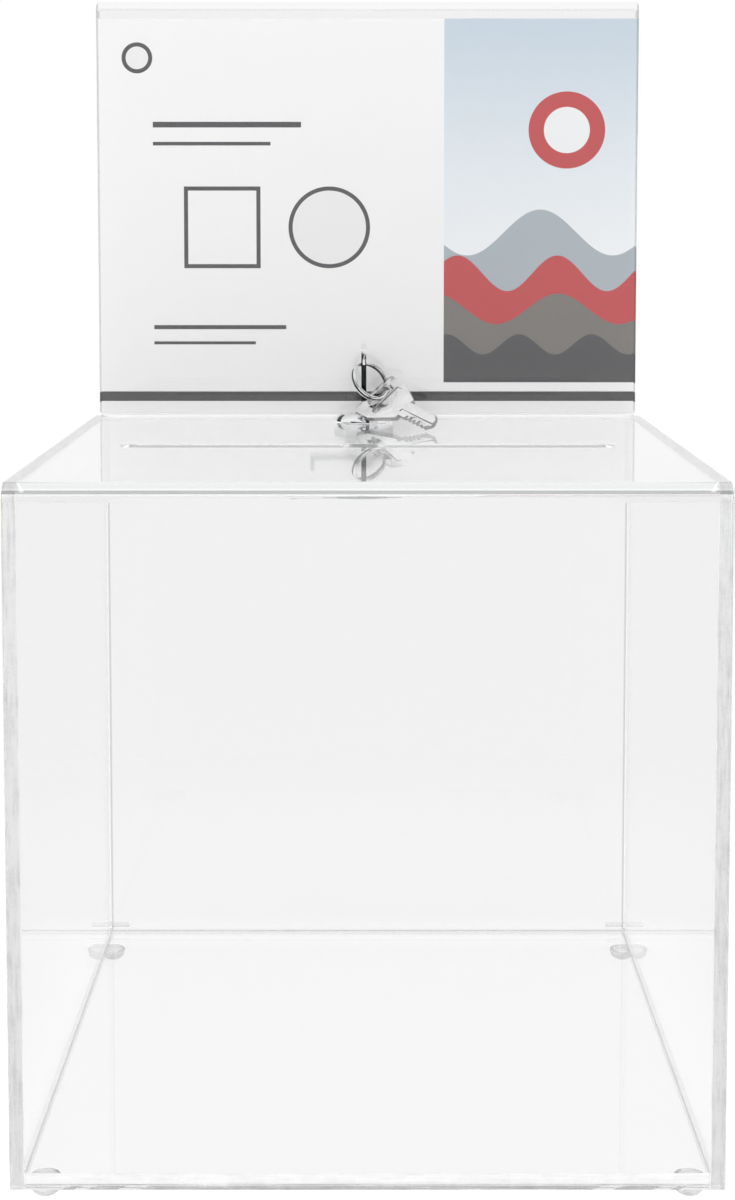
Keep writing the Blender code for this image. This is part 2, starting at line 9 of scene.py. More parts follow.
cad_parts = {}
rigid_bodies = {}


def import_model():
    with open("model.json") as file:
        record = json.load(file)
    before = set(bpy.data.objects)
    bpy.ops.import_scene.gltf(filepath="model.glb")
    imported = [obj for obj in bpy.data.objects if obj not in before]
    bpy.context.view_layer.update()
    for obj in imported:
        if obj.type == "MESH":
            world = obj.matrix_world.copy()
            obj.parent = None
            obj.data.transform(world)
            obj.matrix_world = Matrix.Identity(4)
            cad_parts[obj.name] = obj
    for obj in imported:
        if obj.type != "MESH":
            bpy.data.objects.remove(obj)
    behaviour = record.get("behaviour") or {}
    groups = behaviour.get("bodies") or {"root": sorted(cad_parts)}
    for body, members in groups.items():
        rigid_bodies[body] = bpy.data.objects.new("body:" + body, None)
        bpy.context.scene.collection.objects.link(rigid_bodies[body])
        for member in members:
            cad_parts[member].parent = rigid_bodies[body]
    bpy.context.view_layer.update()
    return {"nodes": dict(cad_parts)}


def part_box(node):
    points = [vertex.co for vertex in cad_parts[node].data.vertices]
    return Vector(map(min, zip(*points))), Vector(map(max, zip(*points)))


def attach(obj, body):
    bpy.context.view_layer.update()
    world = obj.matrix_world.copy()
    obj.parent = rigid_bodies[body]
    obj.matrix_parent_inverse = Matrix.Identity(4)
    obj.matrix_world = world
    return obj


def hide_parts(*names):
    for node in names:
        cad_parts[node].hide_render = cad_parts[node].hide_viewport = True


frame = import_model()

scene = bpy.context.scene


# Colours and nodes

def hexColour(text):
    # sRGB hex to linear
    values = [int(text[i:i + 2], 16) / 255 for i in (1, 3, 5)]
    linear = [v / 12.92 if v <= 0.04045 else ((v + 0.055) / 1.055) ** 2.4 for v in values]
    return (*linear, 1.0)


def perMetre(millimetres):
    # a pattern's scale, from the size of its marks
    return 1000 / millimetres


def setInputs(tree, node, inputs):
    # a hex colour or a value is set, and a socket is linked, or the first output that a node has in use
    for name, value in inputs.items():
        if isinstance(value, bpy.types.Node):
            value = next(socket for socket in value.outputs if socket.enabled)
        if isinstance(value, bpy.types.NodeSocket):
            tree.links.new(value, node.inputs[name])
        else:
            node.inputs[name].default_value = hexColour(value) if isinstance(value, str) else value


def addNode(tree, kind, inputs=None, stops=(), **settings):
    node = tree.nodes.new("ShaderNode" + kind)
    for name, value in settings.items():
        setattr(node, name, value)
    if stops:
        elements = node.color_ramp.elements
        while len(elements) < len(stops):
            elements.new(0.5)
        for element, (place, colour) in zip(elements, stops):
            element.position, element.color = place, hexColour(colour)
    setInputs(tree, node, inputs or {})
    return node


def newMaterial(name):
    material = bpy.data.materials.new(name)
    material.use_nodes = True
    tree = material.node_tree
    return material, tree, tree.nodes["Principled BSDF"], tree.nodes["Material Output"]


# Materials

clearLooks = {
    "tint": "#F8F8F8",            # a little light lost at each face
    "index": 1.49,
    "absorbColour": "#F2F3F3",
    "absorbDensity": 6.0,         # what makes a long way through a sheet greyer
    # casting leaves slow waves about half a side long, and a wiping cloth leaves smears drawn out upwards
    "wave": {"Scale": perMetre(111.1), "Detail": 1.0},
    "waveHeight": 0.00002,
    "wipe": (3.0, 3.0, 0.6),
    "smear": {"Scale": perMetre(71.43), "Detail": 5.0, "Roughness": 0.6},
    "smearFrom": 0.45,
    "smearHaze": 0.048,
    # real dust of 0.1 mm is too fine to show, so it is drawn at 1.1 mm
    "dust": {"Scale": perMetre(1.111), "Detail": 2.0, "Roughness": 0.7},
    "dustFrom": 0.72,
    "dustHaze": 0.10,
    # a path past one of these depths has been mirrored in the sheet too often to follow; there the sheet
    # glows pale, as painted light for what the path would have brought
    "longestPath": {"Glossy Depth": 3.5, "Transmission Depth": 11.5, "Ray Depth": 11.5},
    "endGlow": 0.50,
    "endGlowColour": "#F6F8F8",
    # ends take a darker tint by the mark on their faces: sawn ends let less light through, and the rest of
    # the grey is painted shade for the dark that the ends mirror
    "endTint": "#A6A6A6",
    "endMark": 0.5,
    "bendShadeMark": 1.0,            # painted shade: a dark line along the bend
    "creaseFrom": 53.0,           # degrees down from the top of the bend
    "creaseTo": 63.0,
    "glintMark": 2.0,             # painted highlight: bright glowing lines of the bend above and below the dark line
    "glintFrom": 1.5,
    "glintWidth": 9.0,
    "glint": 0.10,
}


def clearAcrylic(name):
    material, tree, shader, output = newMaterial(name)
    point = addNode(tree, "TexCoord").outputs["Object"]
    wiped = addNode(tree, "Mapping", {"Vector": point, "Scale": clearLooks["wipe"]})
    smear = addNode(tree, "TexNoise", {"Vector": wiped, **clearLooks["smear"]})
    smear = addNode(tree, "Math", {0: smear, 1: clearLooks["smearFrom"]}, operation="SUBTRACT",
                    use_clamp=True)
    dust = addNode(tree, "TexNoise", {"Vector": point, **clearLooks["dust"]})
    dust = addNode(tree, "Math", {0: dust, 1: clearLooks["dustFrom"]}, operation="GREATER_THAN")
    dust = addNode(tree, "Math", {0: dust, 1: clearLooks["dustHaze"]}, operation="MULTIPLY")
    rough = addNode(tree, "Math", {0: smear, 1: clearLooks["smearHaze"], 2: dust}, operation="MULTIPLY_ADD",
                    use_clamp=True)
    wave = addNode(tree, "TexNoise", {"Vector": point, **clearLooks["wave"]})
    bump = addNode(tree, "Bump", {"Height": wave, "Distance": clearLooks["waveHeight"], "Strength": 0.6})

    mark = addNode(tree, "Attribute", attribute_name="sheetEnd").outputs["Fac"]
    glint = addNode(tree, "Math", {0: mark, 1: clearLooks["glintFrom"]}, operation="GREATER_THAN")
    plain = addNode(tree, "Math", {0: 1.0, 1: glint}, operation="SUBTRACT")
    darker = addNode(tree, "Math", {0: mark, 1: plain}, operation="MULTIPLY")
    tint = addNode(tree, "Mix", {0: darker, 6: clearLooks["tint"], 7: clearLooks["endTint"]},
                   data_type="RGBA")

    path = addNode(tree, "LightPath").outputs
    lost = 0.0
    for depth, most in clearLooks["longestPath"].items():
        over = addNode(tree, "Math", {0: path[depth], 1: most}, operation="GREATER_THAN")
        lost = addNode(tree, "Math", {0: over, 1: lost}, operation="MAXIMUM")
    # painted highlight: the bend's glint faces glow a little
    glow = addNode(tree, "Math", {0: glint, 1: clearLooks["glint"]}, operation="MULTIPLY")
    glow = addNode(tree, "Math", {0: lost, 1: clearLooks["endGlow"], 2: glow}, operation="MULTIPLY_ADD")
    absorb = addNode(tree, "VolumeAbsorption",
                     {"Color": clearLooks["absorbColour"], "Density": clearLooks["absorbDensity"]})
    setInputs(tree, shader, {"Base Color": tint, "Roughness": rough, "Normal": bump,
                             "IOR": clearLooks["index"], "Transmission Weight": 1.0,
                             "Emission Color": clearLooks["endGlowColour"], "Emission Strength": glow})
    setInputs(tree, output, {"Volume": absorb})
    return material


softLooks = {
    "index": 1.5,
    "clear": 0.85,
    "cloud": {"Scale": perMetre(2.381), "Detail": 4.0},       # flow marks of the moulding
    "cloudHeight": 0.0006,
    "tones": [(0.35, "#DADBDB"), (0.65, "#FBFBFB")],
    "haze": 0.25,
}


def softClear(name):
    material, tree, shader, output = newMaterial(name)
    point = addNode(tree, "TexCoord").outputs["Object"]
    cloud = addNode(tree, "TexNoise", {"Vector": point, **softLooks["cloud"]})
    tone = addNode(tree, "ValToRGB", {"Fac": cloud}, softLooks["tones"])
    rough = addNode(tree, "Math", {0: cloud, 1: softLooks["haze"]}, operation="MULTIPLY")
    bump = addNode(tree, "Bump", {"Height": cloud, "Distance": softLooks["cloudHeight"], "Strength": 0.7})
    setInputs(tree, shader, {"Base Color": tone, "Roughness": rough, "Normal": bump,
                             "IOR": softLooks["index"], "Transmission Weight": softLooks["clear"]})
    return material


metalLooks = {
    "stain": {"Scale": perMetre(4.167), "Detail": 4.0, "Roughness": 0.6},    # worn and greasy places
    "stainFrom": 0.35,
    "paintedShadeColour": "#151516",          # painted dark reflection and shade: the colour laid on the marked faces for a dark room that they mirror and for slits in shade
}


def metal(name, light, dark, rough, stretch=(1.0, 1.0, 1.0), grain=0.4, height=0.000004):
    # grain in mm: plating is finer than 0.05, too fine to show, so it is drawn at 0.3 to 0.4
    material, tree, shader, output = newMaterial(name)
    point = addNode(tree, "TexCoord").outputs["Object"]
    along = addNode(tree, "Mapping", {"Vector": point, "Scale": stretch})
    lines = addNode(tree, "TexNoise", {"Vector": along, "Scale": perMetre(grain), "Detail": 3.0})
    stain = addNode(tree, "TexNoise", {"Vector": point, **metalLooks["stain"]})
    worn = addNode(tree, "Math", {0: stain, 1: metalLooks["stainFrom"]}, operation="SUBTRACT",
                   use_clamp=True)
    plain = addNode(tree, "Mix", {0: worn, 6: light, 7: dark}, data_type="RGBA")
    # marked faces take the painted dark colour: painted shade and dark reflection
    mark = addNode(tree, "Attribute", attribute_name="paintedShade").outputs["Fac"]
    colour = addNode(tree, "Mix", {0: mark, 6: plain, 7: metalLooks["paintedShadeColour"]}, data_type="RGBA")
    spread = addNode(tree, "Math", {0: stain, 1: rough, 2: rough / 2}, operation="MULTIPLY_ADD")
    bump = addNode(tree, "Bump", {"Height": lines, "Distance": height, "Strength": 0.5})
    setInputs(tree, shader, {"Base Color": colour, "Roughness": spread, "Normal": bump, "Metallic": 1.0})
    return material


bondLooks = {
    # saw scratches and bubbles of 0.2 mm are too fine to show, so they are drawn at 0.9 and 0.7 mm
    "streak": {"Scale": perMetre(0.9091), "Detail": 4.0, "Roughness": 0.6},
    "speck": {"Scale": perMetre(0.7143), "Detail": 3.0, "Roughness": 0.7},
    "blotch": {"Scale": perMetre(5.882), "Detail": 5.0, "Roughness": 0.7},   # dry places in the bond
    "shares": (0.25, 0.30, 0.45),    # of specks, blotches and streaks
    "steps": (0.38, 0.52, 0.62),     # where the dark, light and white tones begin
    "height": 0.00004,
    "rough": 0.35,
    "speckRough": 0.3,
}


def bondLine(name, light, dark, stretch, lift=0.0):
    material, tree, shader, output = newMaterial(name)
    point = addNode(tree, "TexCoord").outputs["Object"]
    along = addNode(tree, "Mapping", {"Vector": point, "Scale": stretch})
    streak = addNode(tree, "TexNoise", {"Vector": along, **bondLooks["streak"]})
    blotch = addNode(tree, "TexNoise", {"Vector": point, **bondLooks["blotch"]})
    speck = addNode(tree, "TexNoise", {"Vector": point, **bondLooks["speck"]})
    mottle = 0.0
    for part, share in zip((speck, blotch, streak), bondLooks["shares"]):
        mottle = addNode(tree, "Math", {0: part, 1: share, 2: mottle}, operation="MULTIPLY_ADD")
    stops = list(zip(bondLooks["steps"], (dark, light, "#FFFFFF")))
    tone = addNode(tree, "ValToRGB", {"Fac": mottle}, stops)
    rough = addNode(tree, "Math", {0: speck, 1: bondLooks["speckRough"], 2: bondLooks["rough"]},
                    operation="MULTIPLY_ADD")
    bump = addNode(tree, "Bump", {"Height": mottle, "Distance": bondLooks["height"], "Strength": 0.6})
    # lift makes the strip glow in its own tone: painted light
    setInputs(tree, shader, {"Base Color": tone, "Roughness": rough, "Normal": bump,
                             "Emission Color": tone, "Emission Strength": lift})
    return material


# polished cast acrylic sheet: clear, with sharp mirrors, slow waves and faint smears
acrylic = clearAcrylic("clearCastAcrylic")
doorAcrylic = clearAcrylic("clearDoorAcrylic")
# sawn ends wetted with solvent: pale mottled bands, with streaks along the end
streakUp, streakBack, streakAcross, streakLong = (1, 1, 0.07), (1, 0.07, 1), (0.07, 1, 1), (0.03, 1, 1)
bondedEnd = bondLine("bondedSawnEnd", "#FFFFFF", "#E6E6E6", streakUp)
bondedTop = bondLine("bondedSawnTop", "#FFFFFF", "#E8E8E8", streakBack)
# painted light: the same at the floor, glowing a little as if lit from below by the counter
bondedFloor = bondLine("bondedFloorEnd", "#FAFAFA", "#EFEFEF", streakAcross, 0.07)
bondedSide = bondLine("bondedFloorSide", "#F4F4F4", "#E6E6E6", streakBack, 0.35)
# a sawn end left as it is: grey, with the saw's long scratches; at the front's foot its grey is partly
# painted shade where the front meets the counter
sawnFoot = bondLine("sawnLowerEdge", "#D0D0D0", "#AEAEAF", streakLong)
# glue run along a sawn end: a paler grey
gluedFoot = bondLine("gluedFoot", "#E6E6E6", "#D4D4D4", streakLong)
# painted shade: a sawn end at the far side of a sheet, drawn dark as little light comes back from it
rearEndShade = bondLine("rearEndPaintedShade", "#5E5E5F", "#4A4A4B", streakLong)
# moulded polyurethane: clear but cloudy, with soft mirrors
rubber = softClear("clearPolyurethane")
# cast zinc, polished and chromed: close to a mirror
chrome = metal("polishedChrome", "#F4F4F5", "#DCDCDE", 0.06, height=0.000001)
# stamped brass, nickel plated: satin, with its grain along the blade
nickel = metal("nickelPlatedBrass", "#F0F0F0", "#D2D2D2", 0.16, (1.0, 1.0, 0.15), 0.3125)
# stamped steel, zinc plated: a duller blueish grey
zinc = metal("brightZinc", "#C9CACC", "#8E9093", 0.3)
# drawn spring steel, polished: bright with soft mirrors
springSteel = metal("brightSpringSteel", "#ECECED", "#B9B9BB", 0.10)
# stamped brass, bare: warm and a little matt
brass = metal("stampedBrass", "#C9A45A", "#7C6232", 0.35)


# Mesh helpers

past = 0.01                       # cutters reach this far past what they cut


def addMesh(name, bm, material=None):
    mesh = bpy.data.meshes.new(name)
    bm.to_mesh(mesh)
    bm.free()
    made = bpy.data.objects.new(name, mesh)
    scene.collection.objects.link(made)
    if material:
        mesh.materials.append(material)
    return made


def addPiece(name, bm, material, body, *nodes):
    piece = addMesh(name, bm, material)
    if nodes:
        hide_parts(*nodes)
    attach(piece, body)
    return piece


def smooth(piece, angle):
    piece.data.shade_smooth()
    piece.data.set_sharp_from_angle(angle=math.radians(angle))


def flatOrSmooth(piece):
    # faces that lie along an axis are set flat last, so their neighbours' curves don't bend them
    smooth(piece, 30)
    for face in piece.data.polygons:
        if max(abs(v) for v in face.normal) > 0.9999:
            face.use_smooth = False


def markFaces(piece, name, amount):
    marks = piece.data.attributes.new(name, "FLOAT", "FACE")
    for face, mark in zip(piece.data.polygons, marks.data):
        mark.value = amount(face.normal, face.center)


def movedVerts(result):
    return [v for v in result["geom"] if isinstance(v, bmesh.types.BMVert)]


def arc(radius, cy, cz, start, end, steps):
    turns = [math.radians(start + (end - start) * i / steps) for i in range(steps + 1)]
    return [(cy + radius * math.cos(t), cz + radius * math.sin(t)) for t in turns]


def disc(radius, x, y, steps=72):
    return arc(radius, x, y, 0, 360 - 360 / steps, steps - 1)


def stadium(length, width, y, steps=24):
    r = width / 2
    right = arc(r, length / 2 - r, y, -90, 90, steps)
    return right + arc(r, -length / 2 + r, y, 90, 270, steps)


def prism(outline, low, high, axis="X"):
    # outline in the two other axes, in their order, pushed from low to high along axis
    def order(a, b, c):
        return {"X": (c, a, b), "Y": (a, c, b), "Z": (a, b, c)}[axis]

    bm = bmesh.new()
    face = bm.faces.new([bm.verts.new(order(a, b, low)) for a, b in outline])
    moved = movedVerts(bmesh.ops.extrude_face_region(bm, geom=[face]))
    bmesh.ops.translate(bm, vec=Vector(order(0, 0, high - low)), verts=moved)
    bmesh.ops.recalc_face_normals(bm, faces=bm.faces)
    return bm


def slab(xs, ys, zs):
    # a block between two values on each axis, in either order
    (x0, x1), (y0, y1), (z0, z1) = sorted(xs), sorted(ys), sorted(zs)
    return prism([(x0, y0), (x1, y0), (x1, y1), (x0, y1)], z0, z1, "Z")


def ribbon(path, low, high, thickness):
    # a strip along a path in YZ, thickened towards the path's right-hand side
    outline = list(path)
    for index in range(len(path) - 1, -1, -1):
        before, after = Vector(path[max(index - 1, 0)]), Vector(path[min(index + 1, len(path) - 1)])
        ahead = (after - before).normalized()
        outline.append((path[index][0] + ahead.y * thickness, path[index][1] - ahead.x * thickness))
    return prism(outline, low, high)


def lathe(profile, x, y, steps=96):
    # profile of (radius, height) turned about a vertical line at x, y
    bm = bmesh.new()
    verts = [bm.verts.new((x + r, y, z)) for r, z in profile]
    edges = [bm.edges.new(pair) for pair in zip(verts, verts[1:])]
    bmesh.ops.spin(bm, geom=[*verts, *edges], cent=(x, y, 0), axis=(0, 0, 1), angle=2 * math.pi,
                   steps=steps, use_merge=True)
    bmesh.ops.remove_doubles(bm, verts=bm.verts, dist=1e-7)
    bmesh.ops.recalc_face_normals(bm, faces=bm.faces)
    return bm


def carve(bm, cutters):
    # booleans run through real objects, and their result comes back as a bmesh
    block, *tools = [addMesh("carve", shape) for shape in (bm, *cutters)]
    for tool in tools:
        modifier = block.modifiers.new("cut", "BOOLEAN")
        modifier.object, modifier.operation, modifier.solver = tool, "DIFFERENCE", "EXACT"
    bpy.context.view_layer.update()
    result = bpy.data.meshes.new_from_object(block.evaluated_get(bpy.context.evaluated_depsgraph_get()))
    out = bmesh.new()
    out.from_mesh(result)
    for holder in (block, *tools):
        bpy.data.objects.remove(holder, do_unlink=True)
    bpy.data.meshes.remove(result)
    return out


def bevelSharp(bm, width, angle, segments):
    sharp = [e for e in bm.edges if len(e.link_faces) == 2 and e.calc_face_angle() > math.radians(angle)]
    bmesh.ops.bevel(bm, geom=sharp, offset=width, segments=segments, profile=0.5, affect="EDGES",
                    clamp_overlap=True, material=-1)
    return bm


def breakEdges(bm, width, angle=40.0, segments=2):
    bmesh.ops.dissolve_limit(bm, angle_limit=math.radians(0.5), verts=bm.verts, edges=bm.edges)
    return bevelSharp(bm, width, angle, segments)


def copyNode(node):
    # a CAD node's own shape, welded, to break its edges and smooth its curves
    bm = bmesh.new()
    bm.from_mesh(frame["nodes"][node].data)
    bmesh.ops.remove_doubles(bm, verts=bm.verts, dist=1e-6)
    bmesh.ops.recalc_face_normals(bm, faces=bm.faces)
    return bm


def dressNode(node, material, body, width):
    bm = breakEdges(copyNode(node), width, 50.0, 1)
    smooth(addPiece(node.replace("_", ""), bm, material, body, node), 35)


# The acrylic sheets, which meet with a small overlap where solvent has welded them

sheetSizes = {
    "overlap": 0.00005,
    "seam": 0.0003,               # the gap that the overlap closes
    "edgeBreak": 0.00018,
    "bendRadius": 0.0055,
    "bendSteps": 28,
    "slotLength": 0.170,
    "slotWidth": 0.011,
    "slotFromFront": 0.101,
    "pinHole": 0.0009,
}
sheetLow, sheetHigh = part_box("front_and_lid_sheet")
leftLow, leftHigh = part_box("left_side_panel")
floorLow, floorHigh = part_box("floor_panel")
doorLow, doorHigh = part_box("rear_door")
pinLow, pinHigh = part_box("hinge_pin_left")
thick = leftHigh.x - leftLow.x
lidTop, lidUnder = sheetHigh.z, sheetHigh.z - thick
frontBack = sheetLow.y + thick
overlap, seam = sheetSizes["overlap"], sheetSizes["seam"]
lock = {"x": -0.0014, "y": 0.0787, "hole": 0.0083}

radius = sheetSizes["bendRadius"]
cy, cz = sheetLow.y + radius, lidTop - radius
outer = arc(radius, cy, cz, 180, 90, sheetSizes["bendSteps"])
inner = arc(radius - thick, cy, cz, 90, 180, sheetSizes["bendSteps"])
profile = [(sheetLow.y, sheetLow.z), *outer, (sheetHigh.y, lidTop), (sheetHigh.y, lidUnder),
           *inner, (frontBack, sheetLow.z)]
slot = stadium(sheetSizes["slotLength"], sheetSizes["slotWidth"], sheetLow.y + sheetSizes["slotFromFront"])
hole = disc(lock["hole"], lock["x"], lock["y"])
cutters = [prism(outline, lidUnder - past, lidTop + past, "Z") for outline in (slot, hole)]
bm = breakEdges(carve(prism(profile, sheetLow.x, sheetHigh.x), cutters), sheetSizes["edgeBreak"])
frontLid = addPiece("frontAndLid", bm, acrylic, "case", "front_and_lid_sheet")
flatOrSmooth(frontLid)


def frontMark(normal, centre):
    # a painted dark line along the outside of the bend with painted highlights either side of it, and the
    # ends' darker tint
    if abs(centre.x) > sheetHigh.x - 0.001:
        return 0.0
    if centre.y < cy + 0.0001 and centre.z > cz - 0.0001:
        down = math.degrees(math.acos(max(-1.0, min(1.0, normal.z))))
        start, end, reach = clearLooks["creaseFrom"], clearLooks["creaseTo"], clearLooks["glintWidth"]
        outside = math.hypot(centre.y - cy, centre.z - cz) >= radius - thick / 2
        if not outside or not start - reach < down < end + reach:
            return 0.0
        return clearLooks["bendShadeMark"] if start < down < end else clearLooks["glintMark"]
    throughLid = centre.y > cy and abs(normal.z) < 0.9
    foot = normal.z < -0.9 and centre.z < sheetLow.z + 0.001
    return clearLooks["endMark"] if throughLid or foot else 0.0


markFaces(frontLid, "sheetEnd", frontMark)
print("front and lid sheet done")

pinY, pinZ = (pinLow.y + pinHigh.y) / 2, (pinLow.z + pinHigh.z) / 2
pinBore = disc(sheetSizes["pinHole"], pinY, pinZ, 32)
for name, node in (("leftPanel", "left_side_panel"), ("rightPanel", "right_side_panel")):
    low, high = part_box(node)
    corner = arc(radius - thick + overlap, cy, cz, 90, 180, 16)
    profile = [(frontBack - overlap, low.z), (high.y, low.z), (high.y, lidUnder + overlap), *corner]
    hole = prism(pinBore, low.x - past, high.x + past)
    bm = breakEdges(carve(prism(profile, low.x, high.x), [hole]), sheetSizes["edgeBreak"])
    panel = addPiece(name, bm, acrylic, "case", node)
    flatOrSmooth(panel)
    # painted shade: the panel's ends take the darker end tint
    markFaces(panel, "sheetEnd",
              lambda normal, centre: clearLooks["endMark"] if abs(normal.x) < 0.9 else 0.0)

bm = slab((floorLow.x - seam - overlap, floorHigh.x + seam + overlap), (frontBack - overlap, floorHigh.y),
          (floorLow.z, floorHigh.z))
floorSheet = addPiece("floorSheet", breakEdges(bm, sheetSizes["edgeBreak"]), acrylic, "case", "floor_panel")
flatOrSmooth(floorSheet)
# painted shade: the floor's ends take the darker end tint
markFaces(floorSheet, "sheetEnd",
          lambda normal, centre: clearLooks["endMark"] if abs(normal.z) < 0.9 and normal.y > -0.5 else 0.0)


# Bond lines between the sheets: thin strips along the sheets' ends

bondSizes = {
    "thick": 0.00022,
    "inset": 0.0001,
    "endInset": 0.0005,
    "glueLow": 0.0003,            # grey line of glue along the foot of the front, above its lower edge
    "glueTop": 0.0007,
    "filletWidth": 0.0014,
    "filletHeight": 0.00012,
    "filletMark": 0.15,
    "rearFace": 0.00006,          # painted shade: the floor's rear end is drawn darker seen through the sheet, with a lighter strip behind it for the view from behind
    "sawnInset": 0.0004,
    "sawnLow": 0.00002,
    "sawnHigh": 0.00014,
    "sawnSlant": 0.003,
    "sawnRuns": ((-0.092, -0.086), (-0.084, -0.073), (-0.069, 0.070), (0.074, 0.088), (0.091, 0.096)),
}
strip, inset, sink = bondSizes["thick"], bondSizes["inset"], overlap / 2
front = [(frontBack - sink, sheetLow.z + sink), *arc(radius - thick + sink, cy, cz, 180, 90, 14)]
top = [front[-1], (sheetHigh.y - sink, lidUnder + sink)]
for name, side in (("left", -1), ("right", 1)):
    reach = sorted((side * (sheetHigh.x - thick), side * (sheetHigh.x - inset)))
    addPiece(name + "FrontBond", ribbon(front, *reach, strip), bondedEnd, "case")
    addPiece(name + "TopBond", ribbon(top, *reach, strip), bondedTop, "case")

wide = floorHigh.x - inset
foot = [(frontBack - sink, sheetLow.z + inset), (frontBack - sink, floorHigh.z - sink)]
addPiece("floorBond", ribbon(foot, -wide, wide, strip), bondedFloor, "case")
inFloor = (floorLow.z + inset, floorHigh.z - inset)
onFloor = (floorHigh.z - bondSizes["filletHeight"] / 2, floorHigh.z + bondSizes["filletHeight"] / 2)
endY = frontBack + bondSizes["endInset"]
for name, side in (("Left", -1), ("Right", 1)):
    end, wall = side * (floorHigh.x + seam), side * (-leftLow.x - thick)
    bm = slab((end - side * strip, end), (endY, floorHigh.y - bondSizes["sawnInset"]), inFloor)
    addPiece("floorSideBond" + name, bm, bondedSide, "case")
    bm = slab((wall - side * bondSizes["filletWidth"], wall),
              (endY, floorHigh.y - bondSizes["endInset"]), onFloor)
    fillet = addPiece("glueFillet" + name, bm, acrylic, "case")
    markFaces(fillet, "sheetEnd", lambda normal, centre: bondSizes["filletMark"])

rearY = floorHigh.y - inset
faceY = rearY + bondSizes["rearFace"]
# painted shade: a dark strip faces into the box and a lighter copy faces out behind it
addPiece("floorRearEndShaded", slab((-wide, wide), (rearY - strip, rearY), inFloor), rearEndShade, "case")
addPiece("floorRearEndLit", slab((-wide, wide), (rearY, faceY), inFloor), sawnFoot, "case")
glue = [(frontBack - overlap, sheetLow.z + bondSizes[height]) for height in ("glueLow", "glueTop")]
addPiece("glueLine", ribbon(glue, -wide, wide, strip), gluedFoot, "case")

# saw-cut lower edge of the front, cloudy in the middle and in broken pieces towards the corners; its grey
# band is partly painted shade at the counter
sawnY, sawnEndY = sheetLow.y + bondSizes["sawnInset"], frontBack - bondSizes["sawnInset"]
slant = bondSizes["sawnSlant"]
for index, (start, end) in enumerate(bondSizes["sawnRuns"]):
    run = [(start, sawnY), (end - slant, sawnY), (end, sawnEndY), (start + slant, sawnEndY)]
    bm = prism(run, sheetLow.z + bondSizes["sawnLow"], sheetLow.z + bondSizes["sawnHigh"], "Z")
    addPiece("sawnEdge" + str(index + 1), bm, sawnFoot, "case")
print("sides, floor and bond lines done")


# The rear door, whose sheet rises behind the lid and folds over as a sign holder

doorSizes = {
    "thick": 0.003,
    "shoulder": 0.1032,           # half the width between the sides
    "shoulderGap": 0.0003,
    "boreEnd": 0.0960,
    "leafGap": 0.0013,            # between the front leaf and the lid
    "foldSteps": 24,
    "edgeBreak": 0.0009,
    "keeperBreak": 0.00015,
}
midY, outerR = (doorLow.y + doorHigh.y) / 2, (doorHigh.y - doorLow.y) / 2
foldZ, leafLow, sheet = doorHigh.z - outerR, lidTop + doorSizes["leafGap"], doorSizes["thick"]
profile = [(doorHigh.y, doorLow.z), *arc(outerR, midY, foldZ, 0, 180, doorSizes["foldSteps"]),
           (doorLow.y, leafLow), (doorLow.y + sheet, leafLow),
           *arc(outerR - sheet, midY, foldZ, 180, 0, doorSizes["foldSteps"]),
           (doorHigh.y - sheet, doorLow.z)]
notchTop = lidUnder + doorSizes["shoulderGap"]
notch = [(doorLow.y - past, doorLow.z - past), (doorHigh.y + past, doorLow.z - past),
         (doorHigh.y + past, notchTop), (doorLow.y - past, notchTop)]
notches, bores = [], []
for side in (-1, 1):
    notches.append(prism(notch, *sorted((side * doorSizes["shoulder"], side * (doorHigh.x + past)))))
    bores.append(prism(pinBore, *sorted((side * doorSizes["boreEnd"], side * (doorHigh.x + past)))))
bm = breakEdges(carve(prism(profile, doorLow.x, doorHigh.x), notches), doorSizes["edgeBreak"])
door = addPiece("doorAndHolder", carve(bm, bores), doorAcrylic, "door", "rear_door")
flatOrSmooth(door)
# painted shade: the door's ends take the darker end tint
markFaces(door, "sheetEnd",
          lambda normal, centre: clearLooks["endMark"] if abs(normal.x) > 0.1 or normal.z < -0.9 else 0.0)
dressNode("cam_keeper", doorAcrylic, "door", doorSizes["keeperBreak"])
print("door and sign holder done")


# The printed card: a plain layout of bars, hills and discs, placed in mm from its middle and its foot

cardLooks = {
    "paper": ("#FAFAFA", "#F3F3F3"),
    # pulp clouds of 0.1 mm and fibres of 0.02 mm are too fine to show, so they are drawn at 0.6 and 0.4 mm
    "cloud": {"Scale": perMetre(0.5556), "Detail": 4.0},
    "fibre": {"Scale": perMetre(0.3846), "Detail": 5.0, "Roughness": 0.65},
    "fibreHeight": 0.00001,
    "rough": 0.35,
    "fibreRough": 0.2,
    "view": (30, 105, 13, 156),   # left, right, foot and head, as for the bars
    "skyFrom": 60.0,
    "skyTo": 150.0,
    "sky": [(0.0, "#F4F6F8"), (0.45, "#E2E9EF"), (1.0, "#C6D4E0")],
    "discs": ((78, 112, 15, "#C0373B"), (78, 112, 9, "#F1F2F3")),
    # height, swell, waves and shift of each hill
    "hills": ((72, 9, 0.11, 0.4, "#A9B3BA"), (56, 7, 0.16, 2.2, "#C0373B"), (42, 6, 0.13, 4.4, "#74706B"),
              (28, 4, 0.22, 1.0, "#3F3F42")),
    "ink": "#3F3F42",
    "bars": ((-84, -26, 113, 115.2), (-84, -38, 106, 107.4), (-84, -32, 34, 35.6), (-84, -44, 28, 29.2),
             (-72, -42, 58, 59.6), (-72, -42, 88.4, 90), (-72, -70.4, 58, 90), (-43.6, -42, 58, 90)),
    "rings": ((-15, 74, 16), (-90, 140, 6)),
    "ringWidth": 1.6,
    "ringInside": "#EFEFEF",
    "footBar": (-105, 105, 5.6, 9.4),
    "footInk": "#3C3C3E",
    "mirrored": "#F4F4F4",        # painted reflection: in mirrors the card shows as plain pale paper, without its print
}


